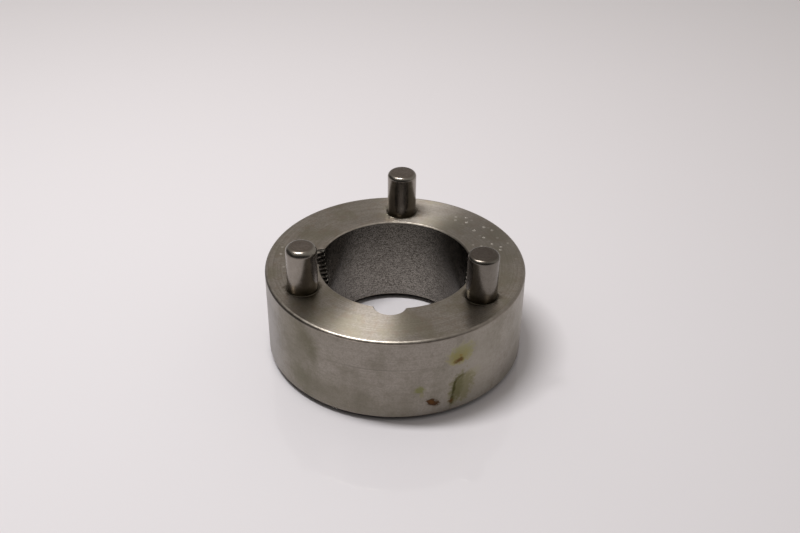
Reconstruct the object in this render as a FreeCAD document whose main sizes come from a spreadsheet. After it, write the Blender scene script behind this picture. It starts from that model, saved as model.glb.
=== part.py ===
import FreeCAD, Part
import Sketcher
import os
import re

# Taper-bush drive hub: a steel ring with a tapered bore and three pressed-in drive pins.
#
# Frame, in millimetres: +Z is the ring's axis and the way the pins point. The ring rests
# on its flat back face at z = 0, and the origin is the centre of that face. Seen from
# above, the pins stand at 90, 210 and 330 degrees, the plain half-hole is at 270 degrees
# and the two threaded half-holes are at 4 and 176 degrees.

DIMENSIONS = {
    # ring
    "ring_radius": 40.5,
    "ring_height": 29.5,
    "top_rim_round": 0.9,
    "back_rim_chamfer": 1.8,
    # tapered bore, with its large end on the pin side
    "bore_large_radius": 23.8,
    "bore_half_angle": 4.0,
    "bore_mouth_chamfer": 0.35,
    "bore_back_chamfer": 2.0,
    # half-holes, whose other halves are in the taper bush
    "screw_circle_radius": 22.225,
    "plain_hole_radius": 4.9,
    "plain_hole_depth": 19.0,
    "tapping_hole_radius": 3.95,
    "tapping_hole_depth": 21.5,
    "half_hole_chamfer": 0.3,
    # how far each threaded half-hole lies from the X axis, toward +Y
    "tapped_hole_angle": 4.0,
    # 3/8 inch thread with 16 turns to the inch
    "thread_major_radius": 4.7625,
    "thread_pitch": 1.5875,
    "thread_root_flat": 0.2,
    "thread_flank_angle": 30.0,
    "thread_length": 19.0,
    "cutter_overlap": 0.2,
    # stepped drive pins: a free end that a mating part slides over, and a thicker seat
    # that is pressed into the ring and ends flush with its face
    "pin_circle_radius": 31.0,
    "pin_radius": 4.7,
    "pin_standout": 14.9,
    # the ends were rounded by hand, the left one most
    "back_end_round": 1.5,
    "left_end_round": 2.0,
    "right_end_round": 1.25,
    "pin_seat_radius": 5.0,
    "pin_seat": 14.0,
    "pin_tail_chamfer": 0.8,
    "pin_shoulder_chamfer": 0.15,
    "pin_hole_clearance": 0.8,
    "pin_hole_chamfer": 0.15,
    # half of the included angle of a twist drill's point
    "drill_point_angle": 59.0,
}

PIN_ANGLES = {"back": 90, "left": 210, "right": 330}

doc = FreeCAD.newDocument("drive_hub")


def make_sheet():
    """Put each driving dimension in a spreadsheet cell that has its name as an alias."""
    table = doc.addObject("Spreadsheet::Sheet", "Dimensions")
    for row, (name, size) in enumerate(DIMENSIONS.items(), start=1):
        table.set(f"A{row}", name)
        table.set(f"B{row}", str(size))
        table.setAlias(f"B{row}", name)
    doc.recompute()
    return table


sheet = make_sheet()


def linked(formula):
    """The same formula with each dimension read from the spreadsheet."""

    def link(word):
        return f"<<Dimensions>>.{word.group()}" if word.group() in DIMENSIONS else word.group()

    return re.sub(r"[a-z_]+", link, formula)


def bind(thing, setting, formula):
    thing.setExpression(setting, linked(formula))


def origin_feature(body, role):
    return next(part for part in body.Origin.OriginFeatures if part.Role == role)


def outline_sketch(body, name, plane, corners, shift="0", lift="0"):
    """A closed outline with straight sides, each corner placed by two formulas.

    Corners are (distance from the sketch's vertical axis, height above z = 0). The
    vertical axis is parallel to the ring's axis; shift moves it across the plane and
    lift moves it out of the plane.
    """
    sketch = body.newObject("Sketcher::SketchObject", name)
    sketch.AttachmentSupport = [(origin_feature(body, plane), "")]
    sketch.MapMode = "FlatFace"
    bind(sketch, "AttachmentOffset.Base.x", shift)
    bind(sketch, "AttachmentOffset.Base.z", lift)
    points = [FreeCAD.Vector(sheet.evalExpression(across), sheet.evalExpression(up), 0)
              for across, up in corners]
    count = len(points)
    for index in range(count):
        sketch.addGeometry(Part.LineSegment(points[index], points[(index + 1) % count]))
    for index in range(count):
        sketch.addConstraint(Sketcher.Constraint("Coincident", index, 2, (index + 1) % count, 1))
    for index, corner in enumerate(corners):
        for kind, formula, axis in (("DistanceX", corner[0], -2), ("DistanceY", corner[1], -1)):
            if formula == "0":
                sketch.addConstraint(Sketcher.Constraint("PointOnObject", index, 1, axis))
                continue
            size = sheet.evalExpression(formula)
            row = sketch.addConstraint(Sketcher.Constraint(kind, -1, 1, index, 1, size))
            bind(sketch, f"Constraints[{row}]", formula)
    doc.recompute()
    return sketch


def turned(body, name, kind, plane, corners, shift="0", lift="0"):
    """Turn an outline about its sketch's vertical axis: a Revolution adds, a Groove cuts."""
    sketch = outline_sketch(body, name + "_outline", plane, corners, shift, lift)
    feature = body.newObject(f"PartDesign::{kind}", name)
    feature.Profile = sketch
    feature.ReferenceAxis = (sketch, ["V_Axis"])
    feature.Angle = 360
    doc.recompute()
    return feature


def patterned(body, name, originals, count):
    """Repeat features evenly around the ring's axis."""
    pattern = body.newObject("PartDesign::PolarPattern", name)
    pattern.Originals = originals
    pattern.Axis = (origin_feature(body, "Z_Axis"), [""])
    pattern.Angle = 360
    pattern.Occurrences = count
    body.Tip = pattern
    doc.recompute()
    return pattern


def rounded_rim(body, name, base, rim_radius, rim_height, round_radius):
    """Round the circular edge that lies at a radius and height."""
    radius = sheet.evalExpression(rim_radius)
    height = sheet.evalExpression(rim_height)
    rims = []
    for number, edge in enumerate(base.Shape.Edges, start=1):
        if not isinstance(edge.Curve, Part.Circle):
            continue
        same_radius = abs(edge.Curve.Radius - radius) < 1e-6
        same_height = abs(edge.Curve.Center.z - height) < 1e-6
        if same_radius and same_height:
            rims.append(f"Edge{number}")
    fillet = body.newObject("PartDesign::Fillet", name)
    fillet.Base = (base, rims)
    bind(fillet, "Radius", round_radius)
    doc.recompute()
    return fillet


def drilled(body, name, plane, shift, radius, depth, chamfer, lift="0"):
    """A drilled hole from the pin side, with a chamfered mouth and a drill point's cone."""
    floor = f"ring_height - {depth}"
    tip = f"{floor} - {radius} / tan(drill_point_angle)"
    corners = [("0", "ring_height"), (f"{radius} + {chamfer}", "ring_height"),
               (radius, f"ring_height - {chamfer}"), (radius, floor), ("0", tip)]
    return turned(body, name, "Groove", plane, corners, shift, lift)


def bore_radius(height):
    return f"(bore_large_radius - (ring_height - ({height})) * tan(bore_half_angle))"


def make_ring_blank(body):
    """The turned ring: parallel outside, tapered bore, broken edges."""
    mouth_low = "ring_height - bore_mouth_chamfer"
    corners = [
        (bore_radius("bore_back_chamfer") + " + bore_back_chamfer", "0"),
        ("ring_radius - back_rim_chamfer", "0"),
        ("ring_radius", "back_rim_chamfer"),
        ("ring_radius", "ring_height"),
        (bore_radius(mouth_low) + " + bore_mouth_chamfer", "ring_height"),
        (bore_radius(mouth_low), mouth_low),
        (bore_radius("bore_back_chamfer"), "bore_back_chamfer"),
    ]
    blank = turned(body, "ring_blank", "Revolution", "XZ_Plane", corners)
    return rounded_rim(body, "top_rim", blank, "ring_radius", "ring_height", "top_rim_round")


def cut_thread(body, name, shift, lift):
    """The right-hand thread in one half-hole, cut from the bottom turn up through the face."""
    start = "ring_height - thread_length"
    inside = "(tapping_hole_radius - cutter_overlap)"
    half_mouth = (f"(thread_root_flat / 2 + (thread_major_radius - {inside})"
                  " * tan(thread_flank_angle))")
    corners = [
        (inside, f"{start} - {half_mouth}"),
        ("thread_major_radius", f"{start} - thread_root_flat / 2"),
        ("thread_major_radius", f"{start} + thread_root_flat / 2"),
        (inside, f"{start} + {half_mouth}"),
    ]
    sketch = outline_sketch(body, name + "_outline", "XZ_Plane", corners, shift, lift)
    thread = body.newObject("PartDesign::SubtractiveHelix", name)
    thread.Profile = sketch
    thread.ReferenceAxis = (sketch, ["V_Axis"])
    thread.Mode = "pitch-height-angle"
    bind(thread, "Pitch", "thread_pitch")
    bind(thread, "Height", "thread_length + thread_pitch")
    thread.LeftHanded = False
    doc.recompute()
    return thread


def make_ring():
    """The hub ring with its half-holes and its three blind pin holes."""
    body = doc.addObject("PartDesign::Body", "hub_ring")
    make_ring_blank(body)
    drilled(body, "plain_half_hole", "YZ_Plane", "-screw_circle_radius",
            "plain_hole_radius", "plain_hole_depth", "half_hole_chamfer")
    pin_hole = drilled(body, "pin_hole", "YZ_Plane", "pin_circle_radius", "pin_seat_radius",
                       "(pin_seat + pin_hole_clearance)", "pin_hole_chamfer")
    patterned(body, "pin_holes", [pin_hole], len(PIN_ANGLES))
    # the XZ plane looks toward -Y, so a negative lift moves a sketch toward +Y
    lift = "-screw_circle_radius * sin(tapped_hole_angle)"
    for side, sign in (("right", ""), ("left", "-")):
        shift = f"{sign}screw_circle_radius * cos(tapped_hole_angle)"
        drilled(body, f"tapping_hole_{side}", "XZ_Plane", shift,
                "tapping_hole_radius", "tapping_hole_depth",
                "(thread_major_radius - tapping_hole_radius)", lift)
        cut_thread(body, f"thread_{side}", shift, lift)
    return body


def make_pin(side, angle):
    """A stepped pin: a chamfered seat in the ring, and a thinner free end, rounded over."""
    name = "drive_pin_" + side
    body = doc.addObject("PartDesign::Body", name)
    length = "pin_seat + pin_standout"
    corners = [("0", "0"), ("pin_seat_radius - pin_tail_chamfer", "0"),
               ("pin_seat_radius", "pin_tail_chamfer"),
               ("pin_seat_radius", "pin_seat - pin_shoulder_chamfer"),
               ("pin_seat_radius - pin_shoulder_chamfer", "pin_seat"),
               ("pin_radius", "pin_seat"), ("pin_radius", length), ("0", length)]
    shank = turned(body, name + "_shank", "Revolution", "XZ_Plane", corners)
    rounded_rim(body, name + "_end", shank, "pin_radius", length, f"{side}_end_round")
    bind(body, "Placement.Base.x", f"pin_circle_radius * cos({angle})")
    bind(body, "Placement.Base.y", f"pin_circle_radius * sin({angle})")
    bind(body, "Placement.Base.z", "ring_height - pin_seat")
    doc.recompute()
    return body


def check_document():
    """Stop if any object failed to rebuild, or if a cutting feature removed nothing."""
    for thing in doc.Objects:
        if {"Invalid", "Error"} & set(thing.State):
            raise RuntimeError(f"{thing.Name} did not rebuild: {thing.State}")
    for thing in doc.Objects:
        if thing.TypeId in ("PartDesign::Groove", "PartDesign::SubtractiveHelix"):
            removed = thing.BaseFeature.Shape.Volume - thing.Shape.Volume
            print(f"{thing.Name} removes {removed:.1f} mm3")
            if removed < 1:
                raise RuntimeError(f"{thing.Name} cuts nothing")


def write_parts(bodies):
    """Check each sub-part's solid and write it to its own STEP file."""
    for body in bodies:
        shape = body.Shape
        if shape.isNull() or not shape.isValid() or len(shape.Solids) != 1:
            raise RuntimeError(f"{body.Label} is not one valid solid")
    os.makedirs("parts", exist_ok=True)
    for body in bodies:
        body.Shape.exportStep(f"parts/{body.Label}.step")
        size = body.Shape.optimalBoundingBox()
        print(f"{body.Label}: {size.XLength:.2f} x {size.YLength:.2f} x {size.ZLength:.2f} mm,"
              f" {body.Shape.Volume:.0f} mm3")


sub_parts = [make_ring()] + [make_pin(side, angle) for side, angle in PIN_ANGLES.items()]
doc.recompute()
check_document()
write_parts(sub_parts)
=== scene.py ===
import math
import bpy
from mathutils import Matrix, Vector


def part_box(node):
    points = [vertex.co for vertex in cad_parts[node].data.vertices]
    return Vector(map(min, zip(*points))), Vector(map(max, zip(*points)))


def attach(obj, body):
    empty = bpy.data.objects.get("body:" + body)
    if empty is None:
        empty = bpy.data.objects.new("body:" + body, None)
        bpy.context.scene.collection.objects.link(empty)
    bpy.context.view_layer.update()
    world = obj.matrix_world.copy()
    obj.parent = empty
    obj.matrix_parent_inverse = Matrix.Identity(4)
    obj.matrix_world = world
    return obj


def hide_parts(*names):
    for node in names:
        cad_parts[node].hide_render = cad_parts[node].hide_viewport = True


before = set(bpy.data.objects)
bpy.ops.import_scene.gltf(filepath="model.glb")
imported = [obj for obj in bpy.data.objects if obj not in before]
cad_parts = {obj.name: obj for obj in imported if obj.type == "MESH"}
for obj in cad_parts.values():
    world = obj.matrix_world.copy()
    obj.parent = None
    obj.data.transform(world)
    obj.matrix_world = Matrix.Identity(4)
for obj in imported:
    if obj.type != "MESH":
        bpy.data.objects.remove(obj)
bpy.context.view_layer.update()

# A taper-bush drive hub: a turned steel ring with three stepped pins pressed into its face.
# The ring and pins are rebuilt here as finer meshes of the same sizes, with small rounds on
# their edges, and get machined-steel materials. The ring's size and the pins' places come
# from the CAD frame, and the sizes below repeat the CAD's. Lengths are in millimetres until
# finished() scales a mesh to the metres that Blender holds.

MM = 0.001

RING_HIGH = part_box("hub_ring")[1]
RING_RADIUS = RING_HIGH.x / MM
RING_HEIGHT = RING_HIGH.z / MM

BACK_RIM_CHAMFER = 1.8
TOP_RIM_ROUND = 0.9
BORE_LARGE_RADIUS = 23.8
BORE_SLOPE = math.tan(math.radians(4.0))
BORE_MOUTH_CHAMFER = 0.35
BORE_BACK_CHAMFER = 2.0
# small rounds that break the corners of the chamfers
BORE_CORNER_ROUND = 0.12
BACK_CORNER_ROUND = 0.15
RIM_CORNER_ROUND = 0.25

SCREW_CIRCLE = 22.225
TAPPED_HOLE_ANGLE = math.radians(4.0)
PLAIN_HOLE_RADIUS = 4.9
PLAIN_HOLE_DEPTH = 19.0
HALF_HOLE_CHAMFER = 0.3
HOLE_CORNER_ROUND = 0.08
TAPPING_RADIUS = 3.95
TAPPING_DEPTH = 21.5
THREAD_RADIUS = 4.7625
THREAD_PITCH = 25.4 / 16
THREAD_LENGTH = 19.0
THREAD_ROOT_FLAT = 0.2
THREAD_FLANK = math.tan(math.radians(30.0))

PIN_NAMES = ("drive_pin_back", "drive_pin_left", "drive_pin_right")
# the pins stand at 90, 210 and 330 degrees round the ring: whole multiples of this angle
PIN_ANGLE_UNIT = 30
PIN_RADIUS = 4.7
PIN_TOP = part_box("drive_pin_back")[1].z / MM
PIN_SEAT_RADIUS = 5.0
PIN_SHOULDER_CHAMFER = 0.15
PIN_TAIL_CHAMFER = 0.8
PIN_TAIL_ROUND = 0.1
PIN_END_ROUNDS = {"drive_pin_back": 1.5, "drive_pin_left": 2.0, "drive_pin_right": 1.25}
PIN_HOLE_CLEARANCE = 0.8
PIN_HOLE_CHAMFER = 0.15
DRILL_POINT = 1 / math.tan(math.radians(59.0))

# cutters stand this far out of the face, so that no two faces of a cut are in one plane
CUTTER_OVERRUN = 1.5
TAP_CLEARANCE = 0.15

# sides of each turned surface, and of each rounded corner
RING_STEPS = 360
HOLE_STEPS = 72
PIN_STEPS = 128
RING_ARC_STEPS = 6
HOLE_ARC_STEPS = 4
PIN_ARC_STEPS = 12

# a point nearer than this to the axis is on it
ON_AXIS = 1e-6
SHARP_ANGLE = math.radians(32.0)
NORMAL_WEIGHT = 80

# material slots of the ring and its cutters, in this order
FACE, RIM, BORE, EDGE, DRILLED, UNDER = range(6)
# and of a pin: its shank, and the disc on its end
PIN_SHANK, PIN_END = range(2)


# ------------------------------------------------------------------------ meshes
def new_object(name, points, faces, face_slots, materials):
    """A mesh object from millimetre points, with a material slot for each face."""
    mesh = bpy.data.meshes.new(name)
    mesh.from_pydata(points, [], faces)
    for material in materials:
        mesh.materials.append(material)
    mesh.polygons.foreach_set("material_index", face_slots)
    mesh.update()
    thing = bpy.data.objects.new(name, mesh)
    bpy.context.scene.collection.objects.link(thing)
    return thing


def rounded(corners, arc_steps):
    """Turn corners (across, up, round radius, slot of the side after it) into an outline.

    Each corner with a radius becomes an arc. Returns the points and the slot of the side
    that follows each one.
    """
    points, slots = [], []
    count = len(corners)
    for index, (across, up, radius, slot) in enumerate(corners):
        here = Vector((across, up))
        if radius == 0:
            points.append(here)
            slots.append(slot)
            continue
        back = (Vector(corners[index - 1][:2]) - here).normalized()
        ahead = (Vector(corners[(index + 1) % count][:2]) - here).normalized()
        half = back.angle(ahead) / 2
        centre = here + (back + ahead).normalized() * radius / math.sin(half)
        start = here + back * radius / math.tan(half) - centre
        sweep = math.pi - 2 * half
        turn = sweep if back.y * ahead.x > back.x * ahead.y else -sweep
        for step in range(arc_steps + 1):
            angle = turn * step / arc_steps
            cosine, sine = math.cos(angle), math.sin(angle)
            points.append(centre + Vector((start.x * cosine - start.y * sine,
                                           start.x * sine + start.y * cosine)))
            slots.append(slot if step == arc_steps else EDGE)
    return points, slots


def lathe(name, outline, steps, materials, centre=(0.0, 0.0), first_angle=0.0):
    """Turn a closed outline about a vertical axis; sides that lie on the axis are left out."""
    corners, slots = outline
    count = len(corners)
    points, rows = [], []
    for corner in corners:
        row = []
        turns = 1 if corner.x < ON_AXIS else steps
        for step in range(turns):
            angle = first_angle + 2 * math.pi * step / steps
            row.append(len(points))
            points.append((centre[0] + corner.x * math.cos(angle),
                           centre[1] + corner.x * math.sin(angle), corner.y))
        rows.append(row)
    faces, face_slots = [], []
    for index in range(count):
        this, after = rows[index], rows[(index + 1) % count]
        if len(this) == 1 and len(after) == 1:
            continue
        for step in range(steps):
            ahead = (step + 1) % steps
            if len(this) == 1:
                faces.append((this[0], after[ahead], after[step]))
            elif len(after) == 1:
                faces.append((this[step], this[ahead], after[0]))
            else:
                faces.append((this[step], this[ahead], after[ahead], after[step]))
            face_slots.append(slots[index])
    return new_object(name, points, faces, face_slots, materials)


def drill(name, centre, radius, depth, chamfer, materials):
    """A drill with a chamfering collar, as deep in the ring as the hole it leaves."""
    floor = RING_HEIGHT - depth
    mouth = radius + chamfer
    corners = [
        (0.0, floor - radius * DRILL_POINT, 0.0, DRILLED),
        (radius, floor, 0.0, DRILLED),
        (radius, RING_HEIGHT - chamfer, HOLE_CORNER_ROUND, EDGE),
        (mouth + CUTTER_OVERRUN, RING_HEIGHT + CUTTER_OVERRUN, 0.0, DRILLED),
        (0.0, RING_HEIGHT + CUTTER_OVERRUN, 0.0, DRILLED),
    ]
    return lathe(name, rounded(corners, HOLE_ARC_STEPS), HOLE_STEPS, materials, centre,
                 0.5 / HOLE_STEPS)


def tap(name, centre, materials):
    """A tap: a right-hand helical ridge on a core, as one closed surface.

    Each row of points is one line of the helix, so a row's last column meets the row that
    is one pitch further on.
    """
    core = TAPPING_RADIUS - TAP_CLEARANCE
    half_mouth = THREAD_ROOT_FLAT / 2 + (THREAD_RADIUS - core) * THREAD_FLANK
    ridge = [(-half_mouth, core), (-THREAD_ROOT_FLAT / 2, THREAD_RADIUS),
             (THREAD_ROOT_FLAT / 2, THREAD_RADIUS), (half_mouth, core)]
    per_turn = len(ridge)
    turns = math.ceil((THREAD_LENGTH + CUTTER_OVERRUN) / THREAD_PITCH) + 1
    row_count = per_turn * turns
    start = RING_HEIGHT - THREAD_LENGTH - THREAD_PITCH / 2
    points = []
    for row in range(row_count):
        rise, radius = ridge[row % per_turn]
        for step in range(HOLE_STEPS):
            angle = 2 * math.pi * step / HOLE_STEPS
            height = start + THREAD_PITCH * (row // per_turn + step / HOLE_STEPS) + rise
            points.append((centre[0] + radius * math.cos(angle),
                           centre[1] + radius * math.sin(angle), height))

    def point(row, step):
        return row * HOLE_STEPS + step

    last = HOLE_STEPS - 1
    faces = []
    for row in range(row_count - 1):
        for step in range(last):
            faces.append((point(row, step), point(row, step + 1),
                          point(row + 1, step + 1), point(row + 1, step)))
        if row + 1 + per_turn < row_count:
            faces.append((point(row, last), point(row + per_turn, 0),
                          point(row + 1 + per_turn, 0), point(row + 1, last)))
    top = row_count - 1
    low_rim = [point(0, step) for step in range(HOLE_STEPS)]
    low_rim += [point(row, 0) for row in range(per_turn, 0, -1)]
    high_rim = [point(top, step) for step in range(HOLE_STEPS)]
    high_rim += [point(row, last) for row in range(top - 1, top - per_turn - 1, -1)]
    for rim, height, flip in ((low_rim, start, True),
                              (high_rim, start + THREAD_PITCH * turns, False)):
        tip = len(points)
        points.append((centre[0], centre[1], height))
        for index, corner in enumerate(rim):
            after = rim[(index + 1) % len(rim)]
            faces.append((after, corner, tip) if flip else (corner, after, tip))
    return new_object(name, points, faces, [DRILLED] * len(faces), materials)


def cut(blank, cutters):
    """Cut closed solids out of a blank, and drop them."""
    for cutter in cutters:
        modifier = blank.modifiers.new("cut", "BOOLEAN")
        modifier.operation = "DIFFERENCE"
        modifier.solver = "EXACT"
        modifier.object = cutter
    graph = bpy.context.evaluated_depsgraph_get()
    mesh = bpy.data.meshes.new_from_object(blank.evaluated_get(graph))
    blank.modifiers.clear()
    blank.data = mesh
    for cutter in cutters:
        bpy.data.objects.remove(cutter)


def finished(thing, node):
    """Scale to metres, shade smooth between sharp edges, and put in the CAD node's place."""
    thing.data.transform(Matrix.Scale(MM, 4))
    thing.data.shade_smooth()
    thing.data.set_sharp_from_angle(angle=SHARP_ANGLE)
    modifier = thing.modifiers.new("face_normals", "WEIGHTED_NORMAL")
    modifier.keep_sharp = True
    modifier.weight = NORMAL_WEIGHT
    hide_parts(node)
    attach(thing, "root")


def bore_radius(height):
    """The tapered bore is widest at the face that the pins stand on."""
    return BORE_LARGE_RADIUS - (RING_HEIGHT - height) * BORE_SLOPE


def pin_place(name):
    """A pin's axis (x, y), the height of its tail and the height of its end."""
    low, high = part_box(name)
    middle = (low + high) / 2 / MM
    angle = math.atan2(middle.y, middle.x)
    reach = math.hypot(middle.x, middle.y)
    # a box is a little uneven round a many-sided pin, so its middle's angle is rounded off
    angle = math.radians(round(math.degrees(angle) / PIN_ANGLE_UNIT) * PIN_ANGLE_UNIT)
    return (reach * math.cos(angle), reach * math.sin(angle)), low.z / MM, high.z / MM


def make_ring(materials):
    """The ring is turned as one closed outline, then drilled, then tapped."""
    mouth_height = RING_HEIGHT - BORE_MOUTH_CHAMFER
    mouth = bore_radius(mouth_height)
    back = bore_radius(BORE_BACK_CHAMFER)
    corners = [
        (back + BORE_BACK_CHAMFER, 0.0, BORE_CORNER_ROUND, FACE),
        (RING_RADIUS - BACK_RIM_CHAMFER, 0.0, BACK_CORNER_ROUND, UNDER),
        (RING_RADIUS, BACK_RIM_CHAMFER, RIM_CORNER_ROUND, RIM),
        (RING_RADIUS, RING_HEIGHT, TOP_RIM_ROUND, FACE),
        (mouth + BORE_MOUTH_CHAMFER, RING_HEIGHT, BORE_CORNER_ROUND, EDGE),
        (mouth, mouth_height, BORE_CORNER_ROUND, BORE),
        (back, BORE_BACK_CHAMFER, BACK_CORNER_ROUND, UNDER),
    ]
    ring = lathe("hub_ring_finish", rounded(corners, RING_ARC_STEPS), RING_STEPS, materials,
                 first_angle=math.pi / RING_STEPS)
    drills = [drill("plain_half_hole", (0.0, -SCREW_CIRCLE), PLAIN_HOLE_RADIUS,
                    PLAIN_HOLE_DEPTH, HALF_HOLE_CHAMFER, materials)]
    taps = []
    across = SCREW_CIRCLE * math.cos(TAPPED_HOLE_ANGLE)
    back_from_middle = SCREW_CIRCLE * math.sin(TAPPED_HOLE_ANGLE)
    for side, place in (("right", (across, back_from_middle)),
                        ("left", (-across, back_from_middle))):
        drills.append(drill("tapping_hole_" + side, place, TAPPING_RADIUS,
                            TAPPING_DEPTH, THREAD_RADIUS - TAPPING_RADIUS, materials))
        taps.append(tap("tap_" + side, place, materials))
    for name in PIN_NAMES:
        place, tail, _ = pin_place(name)
        drills.append(drill(name + "_hole", place, PIN_SEAT_RADIUS,
                            RING_HEIGHT - tail + PIN_HOLE_CLEARANCE,
                            PIN_HOLE_CHAMFER, materials))
    cut(ring, drills)
    cut(ring, taps)
    finished(ring, "hub_ring")


def make_pin(name, materials):
    """A stepped pin, whose shoulder is flush with the ring's face."""
    place, tail, end = pin_place(name)
    shoulder = RING_HEIGHT
    corners = [
        (0.0, tail, 0.0, PIN_SHANK),
        (PIN_SEAT_RADIUS - PIN_TAIL_CHAMFER, tail, PIN_TAIL_ROUND, PIN_SHANK),
        (PIN_SEAT_RADIUS, tail + PIN_TAIL_CHAMFER, PIN_TAIL_ROUND, PIN_SHANK),
        (PIN_SEAT_RADIUS, shoulder - PIN_SHOULDER_CHAMFER, 0.0, PIN_SHANK),
        (PIN_SEAT_RADIUS - PIN_SHOULDER_CHAMFER, shoulder, 0.0, PIN_SHANK),
        (PIN_RADIUS, shoulder, 0.0, PIN_SHANK),
        (PIN_RADIUS, end, PIN_END_ROUNDS[name], PIN_END),
        (0.0, end, 0.0, PIN_SHANK),
    ]
    points, slots = rounded(corners, PIN_ARC_STEPS)
    # rounded() gives arcs the ring's EDGE slot, which a pin doesn't have
    slots = [PIN_END if slot == PIN_END else PIN_SHANK for slot in slots]
    pin = lathe(name + "_finish", (points, slots), PIN_STEPS, materials, place)
    finished(pin, name)


# --------------------------------------------------------------------- materials
# anisotropy is turned by this much, in turns, to lie square to the tangent
QUARTER_TURN = 0.25
# a Mix node's sockets for colours: its two inputs and its result
MIX_FIRST, MIX_SECOND, MIX_RESULT = 6, 7, 2


class Graph:
    """Adds nodes to one material and joins them.

    x, y, z and place are the point shaded, in millimetres, and reach is how far it is from
    the ring's axis.
    """

    def __init__(self, name):
        self.material = bpy.data.materials.new(name)
        self.material.use_nodes = True
        self.tree = self.material.node_tree
        self.tree.nodes.clear()
        metres = self.node("ShaderNodeTexCoord").outputs["Object"]
        self.place = self.node("ShaderNodeVectorMath", {0: metres, "Scale": 1 / MM},
                               operation="SCALE").outputs[0]
        split = self.node("ShaderNodeSeparateXYZ", {0: self.place})
        self.x, self.y, self.z = split.outputs
        self.flat = self.combine(self.x, self.y, 0.0)
        self.reach = self.length(self.flat)

    def node(self, kind, inputs=None, **settings):
        node = self.tree.nodes.new(kind)
        for name, value in settings.items():
            setattr(node, name, value)
        for socket, value in (inputs or {}).items():
            if isinstance(value, bpy.types.NodeSocket):
                self.tree.links.new(value, node.inputs[socket])
            else:
                node.inputs[socket].default_value = value
        return node

    def math(self, operation, first, second=0.0):
        return self.node("ShaderNodeMath", {0: first, 1: second}, operation=operation).outputs[0]

    def product(self, first, second):
        return self.math("MULTIPLY", first, second)

    def most(self, first, second):
        return self.math("MAXIMUM", first, second)

    def combine(self, x, y, z):
        return self.node("ShaderNodeCombineXYZ", {"X": x, "Y": y, "Z": z}).outputs[0]

    def length(self, vector):
        return self.node("ShaderNodeVectorMath", {0: vector}, operation="LENGTH").outputs["Value"]

    def stretched(self, x, y, z):
        """The point shaded, with each of its coordinates scaled."""
        return self.combine(self.product(self.x, x), self.product(self.y, y),
                            self.product(self.z, z))

    def noise(self, vector, scale, detail=2.0, roughness=0.5):
        inputs = {"Vector": vector, "Scale": scale, "Detail": detail, "Roughness": roughness}
        return self.node("ShaderNodeTexNoise", inputs).outputs["Fac"]

    def ramp(self, value, low, high, out_low=0.0, out_high=1.0):
        """A smooth step from out_low at low to out_high at high."""
        inputs = {"Value": value, "From Min": low, "From Max": high,
                  "To Min": out_low, "To Max": out_high}
        node = self.node("ShaderNodeMapRange", inputs, interpolation_type="SMOOTHSTEP")
        return node.outputs["Result"]

    def mix(self, factor, first, second, blend="MIX"):
        node = self.node("ShaderNodeMix", {"Factor": factor}, data_type="RGBA", blend_type=blend)
        for socket, value in ((MIX_FIRST, first), (MIX_SECOND, second)):
            if isinstance(value, bpy.types.NodeSocket):
                self.tree.links.new(value, node.inputs[socket])
            else:
                node.inputs[socket].default_value = (*value, 1.0)
        return node.outputs[MIX_RESULT]

    def bump(self, height, distance):
        return self.node("ShaderNodeBump", {"Height": height, "Distance": distance * MM}).outputs[0]

    def tangent(self):
        """The direction round the ring's axis."""
        return self.node("ShaderNodeTangent", direction_type="RADIAL", axis="Z").outputs[0]

    def round_the_ring(self):
        """A point as (millimetres round the outside from +X, height, 0)."""
        angle = self.math("ARCTAN2", self.y, self.x)
        return self.combine(self.product(angle, RING_RADIUS), self.z, 0.0)

    def from_axis(self, place):
        """Distance from a vertical axis at (x, y)."""
        return self.length(self.combine(self.math("SUBTRACT", self.x, place[0]),
                                        self.math("SUBTRACT", self.y, place[1]), 0.0))

    def patch(self, vector, middle, size, lean=0.0, ragged=0.0, soft=0.3):
        """1 inside a ragged ellipse about a point, fading to 0 outside it.

        The ellipse leans by an angle in degrees, and ragged is a noise value to add.
        """
        inputs = {"Vector": vector, "Location": (*middle, 0.0), "Scale": (*size, 1.0),
                  "Rotation": (0.0, 0.0, math.radians(lean))}
        local = self.node("ShaderNodeMapping", inputs, vector_type="TEXTURE").outputs[0]
        reach = self.math("ADD", self.length(local), ragged)
        return self.ramp(reach, 1.0 - soft, 1.0 + soft, 1.0, 0.0)

    def metal(self, colour, roughness, normal, anisotropy=0.0, tangent=None):
        """Bare metal; anisotropy smears its highlights across marks along the tangent."""
        shader = self.node("ShaderNodeBsdfPrincipled", {"Base Color": colour, "Metallic": 1.0,
                                                       "Roughness": roughness, "Normal": normal,
                                                       "Anisotropic": anisotropy,
                                                       "Anisotropic Rotation": QUARTER_TURN})
        if tangent is not None:
            self.tree.links.new(tangent, shader.inputs["Tangent"])
        self.node("ShaderNodeOutputMaterial", {"Surface": shader.outputs[0]})
        return self.material


# colours of the faced steel and the marks on it, with the darker brown at the pins' feet and the
# painted shade in the bore, then of each other surface
STEEL_LIGHT = (0.415, 0.363, 0.314)
STEEL_DARK = (0.288, 0.251, 0.214)
PIN_FOOT_BROWN = (0.055, 0.043, 0.026)
# painted shade for the sides of the bore
BORE_PAINTED_SHADE = (0.045, 0.041, 0.037)
OLIVE = (0.255, 0.225, 0.155)
SMEAR_BROWN = (0.30, 0.235, 0.185)
DULL_GREY = (0.215, 0.195, 0.172)
NICK_BRIGHT = (0.60, 0.55, 0.49)
GROUND_DARK = (0.302, 0.273, 0.235)
GROUND_LIGHT = (0.362, 0.328, 0.287)
GROUND_CLOUD = (0.235, 0.215, 0.165)
GROUND_SMEAR = (0.215, 0.190, 0.155)
SCRIBED_DARK = (0.12, 0.105, 0.09)
BORED_DARK = (0.11, 0.099, 0.086)
BORED_LIGHT = (0.37, 0.343, 0.307)
EDGE_DARK = (0.36, 0.31, 0.26)
EDGE_LIGHT = (0.48, 0.425, 0.365)
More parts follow.
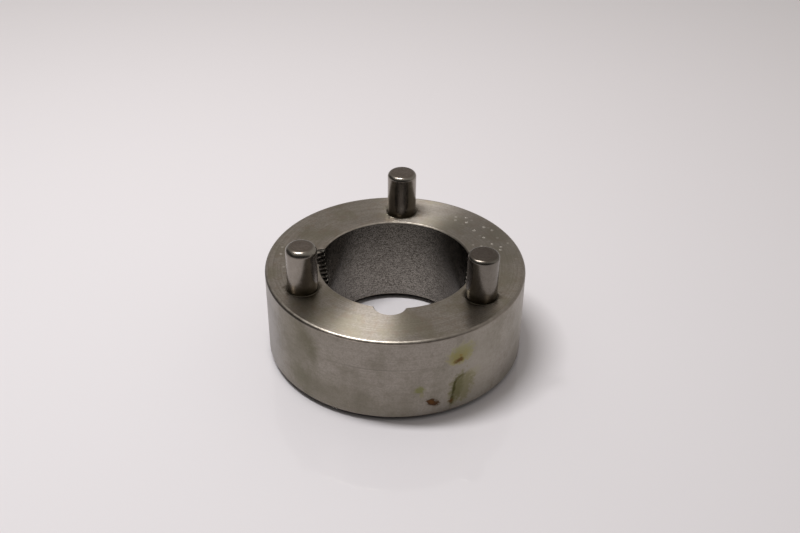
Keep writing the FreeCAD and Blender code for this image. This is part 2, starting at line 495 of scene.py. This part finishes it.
# painted shade: the dark on the left of the outer rim
EDGE_PAINTED_SHADE = (0.05, 0.044, 0.037)
# painted shade that dims the highlights on the right of the rim and of the bore's mouth
EDGE_PAINTED_DIM = (0.19, 0.165, 0.14)
# painted shade for the chamfers that meet the bench
UNDER_PAINTED_SHADE_DARK = (0.035, 0.031, 0.027)
UNDER_PAINTED_SHADE_LIGHT = (0.085, 0.076, 0.067)
DRILLED_DARK = (0.035, 0.031, 0.026)
DRILLED_LIGHT = (0.19, 0.170, 0.147)
SHANK_DARK = (0.250, 0.225, 0.196)
SHANK_LIGHT = (0.308, 0.280, 0.245)
SHANK_GRAIN = (0.17, 0.14, 0.10)
ROUNDED_END_BROWN = (0.135, 0.105, 0.086)
DISC_DARK = (0.128, 0.101, 0.083)
DISC_LIGHT = (0.176, 0.145, 0.123)
DISC_CLOUD = (0.115, 0.088, 0.07)
# painted shade: each pin's colours are scaled by this, next to the left pin's, so the right pin is
# painted darker
PIN_PAINTED_SHADES = {"drive_pin_back": 1.05, "drive_pin_left": 1.0, "drive_pin_right": 0.69}


def faced_steel():
    """A face turned flat: fine rings round the axis, clouds of oil, and small nicks."""
    g = Graph("faced_steel")
    rings = g.noise(g.combine(g.product(g.reach, 3.0), g.product(g.x, 0.04),
                              g.product(g.y, 0.04)), 1.0, 3.0, 0.6)
    grain = g.noise(g.place, 1.6, 3.0, 0.7)
    cloud = g.noise(g.place, 0.11, 5.0, 0.6)
    smear = g.noise(g.place, 0.35, 4.0, 0.65)
    fine = g.math("ADD", g.product(rings, 0.5), g.product(grain, 0.5))
    tone = g.mix(g.ramp(fine, 0.38, 0.62), STEEL_DARK, STEEL_LIGHT)
    tone = g.mix(g.ramp(cloud, 0.44, 0.64, 0.0, 0.55), tone, OLIVE)
    tone = g.mix(g.ramp(smear, 0.48, 0.68, 0.0, 0.5), tone, SMEAR_BROWN)
    # a wide dull cloud lies between the back pin and the right one
    dull_and_shade = g.patch(g.flat, (27.0, 18.0), (12.0, 20.0), 35.0, 0.0, 0.8)
    tone = g.mix(g.product(dull_and_shade, 0.42), tone, DULL_GREY)
    # and a darker brown round the foot of each pin
    for name in PIN_NAMES:
        reach = g.math("ADD", g.from_axis(pin_place(name)[0]), g.product(smear, -5.0))
        tone = g.mix(g.ramp(reach, 2.3, 3.6, 0.65, 0.0), tone, PIN_FOOT_BROWN)
    # nicks lie in two patches of the face, right of the back pin and left of the bore
    spots = g.node("ShaderNodeTexVoronoi", {"Vector": g.flat, "Scale": 0.36},
                   voronoi_dimensions="2D")
    dots = g.math("ADD", spots.outputs["Distance"], g.product(grain, 0.3))
    chance = g.node("ShaderNodeSeparateColor", {"Color": spots.outputs["Color"]}).outputs[0]
    nick = g.product(g.ramp(dots, 0.26, 0.36, 1.0, 0.0), g.ramp(chance, 0.40, 0.65))
    patch = g.most(g.patch(g.flat, (27.5, 16.5), (5.5, 15.0), 35.0, 0.0, 0.2),
                   g.patch(g.flat, (-35.0, 1.0), (3.5, 7.0), 0.0, 0.0, 0.4))
    nick = g.product(nick, patch)
    tone = g.mix(nick, tone, NICK_BRIGHT)
    rough = g.ramp(cloud, 0.3, 0.7, 0.31, 0.36)
    height = g.math("SUBTRACT", g.product(fine, 0.05), nick)
    return g.metal(tone, rough, g.bump(height, 0.05), 0.94, g.tangent())


# The outside's stains, and two patches of painted light: where they are round the ring
# (degrees) and how high, their half width and half height, the angle that they lean at,
# colour, strength, and fade at the edge
SIDE_STAINS_AND_LIGHT = (
    # painted light: a paler patch on the right of the front, where the floor's reflection is
    # shadowed
    (-50.0, 14.0, 9.0, 15.0, 0.0, (0.43, 0.396, 0.345), 0.65, 0.9),
    (-57.2, 22.2, 4.1, 3.1, 10.0, (0.365, 0.345, 0.185), 0.85, 0.35),
    (-59.3, 20.9, 2.9, 2.0, 5.0, (0.35, 0.31, 0.12), 0.7, 0.6),
    (-58.9, 19.9, 1.3, 0.75, 14.0, (0.15, 0.075, 0.025), 0.9, 0.6),
    (-58.1, 21.5, 0.45, 0.45, 0.0, (0.30, 0.17, 0.05), 0.5, 0.7),
    (-52.3, 12.9, 2.6, 1.8, 20.0, (0.37, 0.345, 0.22), 0.55, 0.8),
    (-57.0, 9.3, 3.9, 5.3, -14.0, (0.255, 0.235, 0.135), 0.85, 0.35),
    (-59.4, 8.8, 1.8, 4.7, -12.0, (0.165, 0.155, 0.075), 0.8, 0.6),
    (-58.2, 13.3, 2.1, 0.5, 24.0, (0.12, 0.11, 0.05), 0.7, 0.8),
    (-61.0, 8.6, 0.45, 4.6, -9.0, (0.075, 0.070, 0.025), 0.9, 0.8),
    (-62.0, 5.3, 0.65, 0.75, 0.0, (0.13, 0.07, 0.025), 0.8, 0.6),
    (-76.0, 11.5, 1.5, 1.25, 0.0, (0.26, 0.26, 0.105), 0.8, 0.5),
    (-75.0, 9.5, 0.6, 0.9, 20.0, (0.33, 0.30, 0.17), 0.5, 0.6),
    (-70.2, 6.2, 2.1, 1.2, -27.0, (0.085, 0.042, 0.018), 0.95, 0.3),
    (-70.4, 6.4, 1.1, 0.55, -27.0, (0.19, 0.085, 0.03), 0.75, 0.6),
    (-134.0, 20.5, 7.5, 7.5, 40.0, (0.195, 0.180, 0.120), 0.38, 0.7),
    (-127.5, 24.2, 4.5, 2.6, -40.0, (0.175, 0.158, 0.100), 0.45, 0.8),
    (-122.9, 18.6, 1.8, 5.2, 10.0, (0.185, 0.172, 0.115), 0.42, 0.8),
    (-116.0, 6.5, 17.0, 5.5, -4.0, (0.205, 0.186, 0.130), 0.42, 0.8),
    (-130.8, 7.9, 4.0, 3.6, 0.0, (0.175, 0.168, 0.105), 0.42, 0.8),
    # painted reflection: a pale grey patch on the far left, standing for the floor's reflection
    # there
    (-158.0, 14.0, 8.0, 17.0, 0.0, (0.46, 0.445, 0.44), 0.6, 0.9),
)


def ground_steel():
    """The outside: ground smooth, with a cloudy film, a few rust and oil stains, and two patches of
    painted light.
    """
    g = Graph("ground_steel")
    rings = g.noise(g.stretched(0.05, 0.05, 2.2), 1.0, 3.0, 0.6)
    grain = g.noise(g.place, 1.7, 3.0, 0.7)
    cloud = g.noise(g.place, 0.10, 5.0, 0.6)
    smear = g.noise(g.place, 0.45, 4.0, 0.65)
    fine = g.math("ADD", g.product(rings, 0.3), g.product(grain, 0.7))
    tone = g.mix(g.ramp(fine, 0.40, 0.60), GROUND_DARK, GROUND_LIGHT)
    tone = g.mix(g.ramp(cloud, 0.42, 0.66, 0.0, 0.5), tone, GROUND_CLOUD)
    tone = g.mix(g.ramp(smear, 0.48, 0.70, 0.0, 0.4), tone, GROUND_SMEAR)
    around = g.round_the_ring()
    ragged = g.product(g.math("SUBTRACT", g.noise(g.place, 0.8, 5.0, 0.65), 0.5), 2.1)
    # stains are duller than the steel, so their film adds to its roughness; the patches of painted
    # light add to it too
    film = 0.0
    for angle, height, width, tall, lean, colour, strength, soft in SIDE_STAINS_AND_LIGHT:
        middle = (math.radians(angle) * RING_RADIUS, height)
        stain_and_light = g.product(g.patch(around, middle, (width, tall), lean, ragged, soft), strength)
        tone = g.mix(stain_and_light, tone, colour)
        film = g.most(film, stain_and_light)
    # a faint line is scribed round the front
    middle = (math.radians(-95.0) * RING_RADIUS, 19.4)
    scribed = g.patch(around, middle, (15.0, 0.16), 0.0, 0.0, 0.5)
    tone = g.mix(g.product(scribed, 0.3), tone, SCRIBED_DARK)
    rough = g.math("ADD", g.ramp(cloud, 0.3, 0.7, 0.35, 0.42), g.product(film, 0.12))
    return g.metal(tone, rough, g.bump(fine, 0.0025), 0.7, g.tangent())


def bored_steel():
    """The tapered bore: left as bored, with tool rings and a peppery grain, and painted shade on
    its sides.
    """
    g = Graph("bored_steel")
    rings = g.noise(g.stretched(0.9, 0.9, 2.8), 1.0, 2.0, 0.6)
    grain = g.noise(g.place, 3.0, 2.0, 0.7)
    both = g.math("ADD", g.product(rings, 0.35), g.product(grain, 0.65))
    tone = g.mix(g.ramp(both, 0.40, 0.60), BORED_DARK, BORED_LIGHT)
    # painted shade: the bore is darkened beside the threaded half-holes, and most of all on the
    # right
    bore_painted_shade = g.most(g.ramp(g.x, 6.0, 22.0, 0.0, 0.8), g.ramp(g.x, -21.0, -12.0, 0.5, 0.0))
    tone = g.mix(bore_painted_shade, tone, BORE_PAINTED_SHADE)
    return g.metal(tone, 0.27, g.bump(both, 0.008), 0.85, g.tangent())


def edge_steel():
    """Broken edges: cut last, so brighter and smoother than the faces beside them."""
    g = Graph("edge_steel")
    wear = g.noise(g.place, 0.6, 3.0)
    tone = g.mix(g.ramp(wear, 0.3, 0.7), EDGE_DARK, EDGE_LIGHT)
    on_rim = g.ramp(g.reach, 38.0, 39.0)
    at_mouth = g.ramp(g.reach, 28.0, 29.0, 1.0, 0.0)
    # painted shade: the left of the outer rim is darkened to stand for the dark reflection there,
    # most of all on the outer half of its round
    shade_paint = g.product(on_rim, g.ramp(g.x, -26.0, -14.0, 0.88, 0.0))
    shade_paint = g.product(shade_paint, g.ramp(g.z, RING_HEIGHT - 0.45, RING_HEIGHT - 0.2, 1.0, 0.4))
    tone = g.mix(shade_paint, tone, EDGE_PAINTED_SHADE)
    # painted shade: the right of the outer rim and of the bore's mouth are darkened, to dim their
    # highlights
    dull_and_shade = g.most(g.product(on_rim, g.ramp(g.x, -4.0, 18.0, 0.0, 0.6)),
                  g.product(at_mouth, g.ramp(g.x, 5.0, 15.0, 0.0, 0.8)))
    tone = g.mix(dull_and_shade, tone, EDGE_PAINTED_DIM)
    rough = g.ramp(wear, 0.3, 0.7, 0.33, 0.38)
    return g.metal(tone, rough, g.bump(wear, 0.0005), 0.4, g.tangent())


def under_steel():
    """The chamfers that meet the bench: painted shade, as dark as the contact shadow there."""
    g = Graph("under_steel")
    shade_paint = g.noise(g.place, 0.9, 4.0, 0.65)
    tone = g.mix(g.ramp(shade_paint, 0.35, 0.65), UNDER_PAINTED_SHADE_DARK, UNDER_PAINTED_SHADE_LIGHT)
    return g.metal(tone, 0.38, g.bump(shade_paint, 0.01))


def drilled_steel():
    """Walls of drilled and tapped holes: duller, and darker than the faces round them."""
    g = Graph("drilled_steel")
    grain = g.noise(g.place, 1.2, 3.0)
    tone = g.mix(g.ramp(grain, 0.35, 0.65), DRILLED_DARK, DRILLED_LIGHT)
    return g.metal(tone, 0.34, g.bump(grain, 0.01))


def pin_steel(name, shade):
    """A hardened pin's ground shank: smooth and glossy, and darker brown at its foot."""
    g = Graph(name + "_steel")
    fine = g.noise(g.stretched(0.2, 0.2, 3.0), 1.0, 2.0)
    grain = g.noise(g.place, 1.5, 3.0, 0.65)
    cloud = g.noise(g.place, 0.28, 3.0, 0.55)
    tone = g.mix(g.ramp(cloud, 0.3, 0.7), SHANK_DARK, SHANK_LIGHT)
    tone = g.mix(g.ramp(grain, 0.4, 0.75, 0.0, 0.25), tone, SHANK_GRAIN)
    foot = g.math("ADD", g.math("SUBTRACT", g.z, RING_HEIGHT), g.product(cloud, -4.0))
    tone = g.mix(g.ramp(foot, -1.4, 1.6, 0.85, 0.0), tone, PIN_FOOT_BROWN)
    # the top of the rounded end is brown, like its disc
    near_end = g.ramp(g.z, PIN_TOP - 0.5, PIN_TOP - 0.05, 0.0, 0.8)
    tone = g.mix(near_end, tone, ROUNDED_END_BROWN)
    # painted shade: all the pin's colours are scaled by its own factor
    tone = g.mix(1.0, tone, (shade, shade, shade), "MULTIPLY")
    rough = g.ramp(cloud, 0.3, 0.7, 0.22, 0.26)
    return g.metal(tone, rough, g.bump(fine, 0.001))


def pin_end_steel(name, shade):
    """The disc on a pin's end: parted off, so duller and browner than the shank."""
    g = Graph(name + "_end_steel")
    grain = g.noise(g.place, 1.4, 3.0, 0.65)
    cloud = g.noise(g.place, 0.4, 3.0, 0.6)
    tone = g.mix(g.ramp(grain, 0.35, 0.65), DISC_DARK, DISC_LIGHT)
    tone = g.mix(g.ramp(cloud, 0.4, 0.7, 0.0, 0.5), tone, DISC_CLOUD)
    # painted shade: all the disc's colours are scaled by its pin's factor
    tone = g.mix(1.0, tone, (shade, shade, shade), "MULTIPLY")
    return g.metal(tone, 0.38, g.bump(grain, 0.004))


# --------------------------------------------------------------- stage and lights
# X, Y and Z are a direction's, of length 1, in the steps of the room's light
ROOM_COLOUR = (1.0, 0.975, 0.94, 1.0)
ROOM_DARK = 0.04
ROOM_LIGHT = 0.45
# from dark to light as Y + ROOM_TILT * Z goes between these
ROOM_TILT = 0.55
ROOM_STEP = (-0.55, 0.05)
# times LEFT_WALL on the far left, to times 1 as X goes between these
LEFT_WALL = 0.15
LEFT_WALL_STEP = (-0.88, -0.60)
# the lamp's place and sides, in metres, and its radiance
KEY_PLACE = (-0.135, 0.001, 0.55)
KEY_LENGTH = 0.246
KEY_WIDTH = 0.054
KEY_LIGHT = 57.5
KEY_COLOUR = (0.965, 0.985, 1.0)
# the floor reaches this far from the middle, in metres
FLOOR_HALF_SIDE = 4.0
FLOOR_ROUGHNESS = 0.06
FLOOR_IOR = 1.6
# painted light: the floor's colour at two distances along Y, in millimetres, lighter at the back
FLOOR_FRONT, FLOOR_BACK = -80.0, 300.0
FLOOR_FRONT_COLOUR = (0.757, 0.712, 0.722)
FLOOR_BACK_COLOUR = (0.865, 0.805, 0.812)


def make_floor():
    """A smooth pale board, painted a little lighter towards the back as painted light."""
    mesh = bpy.data.meshes.new("floor")
    side = FLOOR_HALF_SIDE
    mesh.from_pydata([(-side, -side, 0), (side, -side, 0), (side, side, 0), (-side, side, 0)],
                     [], [(0, 1, 2, 3)])
    g = Graph("floor_board")
    tone = g.mix(g.ramp(g.y, FLOOR_FRONT, FLOOR_BACK), FLOOR_FRONT_COLOUR, FLOOR_BACK_COLOUR)
    shader = g.node("ShaderNodeBsdfPrincipled", {"Base Color": tone, "IOR": FLOOR_IOR,
                                                 "Roughness": FLOOR_ROUGHNESS})
    g.node("ShaderNodeOutputMaterial", {"Surface": shader.outputs[0]})
    mesh.materials.append(g.material)
    floor = bpy.data.objects.new("floor", mesh)
    bpy.context.scene.collection.objects.link(floor)


def make_light(name, place, aim, width, height, radiance, colour):
    """A rectangular lamp that lights the scene but is not seen itself."""
    data = bpy.data.lights.new(name, "AREA")
    data.shape = "RECTANGLE"
    data.size = width
    data.size_y = height
    data.energy = radiance * math.pi * width * height
    data.color = colour
    lamp = bpy.data.objects.new(name, data)
    lamp.location = place
    lamp.rotation_mode = "QUATERNION"
    lamp.rotation_quaternion = (Vector(aim) - Vector(place)).to_track_quat("-Z", "Y")
    lamp.visible_camera = False
    bpy.context.scene.collection.objects.link(lamp)


def make_world():
    """A white room that is dark behind the camera and on the left."""
    world = bpy.data.worlds.new("studio")
    bpy.context.scene.world = world
    world.use_nodes = True
    tree = world.node_tree
    nodes, links = tree.nodes, tree.links
    back = nodes["Background"]
    back.inputs["Color"].default_value = ROOM_COLOUR
    toward = nodes.new("ShaderNodeTexCoord").outputs["Generated"]
    split = nodes.new("ShaderNodeSeparateXYZ")
    links.new(toward, split.inputs[0])

    def step(value, ends, out_low, out_high):
        node = nodes.new("ShaderNodeMapRange")
        node.interpolation_type = "SMOOTHSTEP"
        links.new(value, node.inputs["Value"])
        for name, number in (("From Min", ends[0]), ("From Max", ends[1]),
                             ("To Min", out_low), ("To Max", out_high)):
            node.inputs[name].default_value = number
        return node.outputs["Result"]

    rise = nodes.new("ShaderNodeMath")
    rise.operation = "MULTIPLY_ADD"
    links.new(split.outputs["Z"], rise.inputs[0])
    rise.inputs[1].default_value = ROOM_TILT
    links.new(split.outputs["Y"], rise.inputs[2])
    room = step(rise.outputs[0], ROOM_STEP, ROOM_DARK, ROOM_LIGHT)
    wall = step(split.outputs["X"], LEFT_WALL_STEP, LEFT_WALL, 1.0)
    both = nodes.new("ShaderNodeMath")
    both.operation = "MULTIPLY"
    links.new(room, both.inputs[0])
    links.new(wall, both.inputs[1])
    links.new(both.outputs[0], back.inputs["Strength"])


# angles are in degrees and lengths in millimetres, but for the near limit, in metres
CAMERA_NEAREST = 0.01
CAMERA_AZIMUTH = 3.65
CAMERA_LENS = 47.4
CAMERA_SENSOR = 36.0
CAMERA_BACK = 272.43
CAMERA_RISE = 213.07
CAMERA_AIM = (1.616, -2.38, 29.63)
CAMERA_ROLL = 0.66


def make_camera():
    """Stands in front of the ring, turned a little to its right, and looks down at it."""
    data = bpy.data.cameras.new("camera")
    data.lens = CAMERA_LENS
    data.sensor_width = CAMERA_SENSOR
    data.clip_start = CAMERA_NEAREST
    camera = bpy.data.objects.new("camera", data)
    bpy.context.scene.collection.objects.link(camera)
    turn = math.radians(CAMERA_AZIMUTH)
    place = Vector((CAMERA_BACK * math.sin(turn), -CAMERA_BACK * math.cos(turn), CAMERA_RISE)) * MM
    look = (Vector(CAMERA_AIM) * MM - place).normalized()
    camera.location = place
    camera.rotation_mode = "QUATERNION"
    level = look.to_track_quat("-Z", "Y").to_matrix()
    roll = Matrix.Rotation(math.radians(CAMERA_ROLL), 3, "Z")
    camera.rotation_quaternion = (level @ roll).to_quaternion()
    bpy.context.scene.camera = camera


make_camera()
make_world()
make_floor()
make_light("key", KEY_PLACE, (KEY_PLACE[0], KEY_PLACE[1], 0.0), KEY_LENGTH, KEY_WIDTH,
           KEY_LIGHT, KEY_COLOUR)
bpy.context.scene.view_settings.view_transform = "Standard"

make_ring([faced_steel(), ground_steel(), bored_steel(), edge_steel(), drilled_steel(),
           under_steel()])
for pin_name in PIN_NAMES:
    shade = PIN_PAINTED_SHADES[pin_name]
    make_pin(pin_name, [pin_steel(pin_name, shade), pin_end_steel(pin_name, shade)])
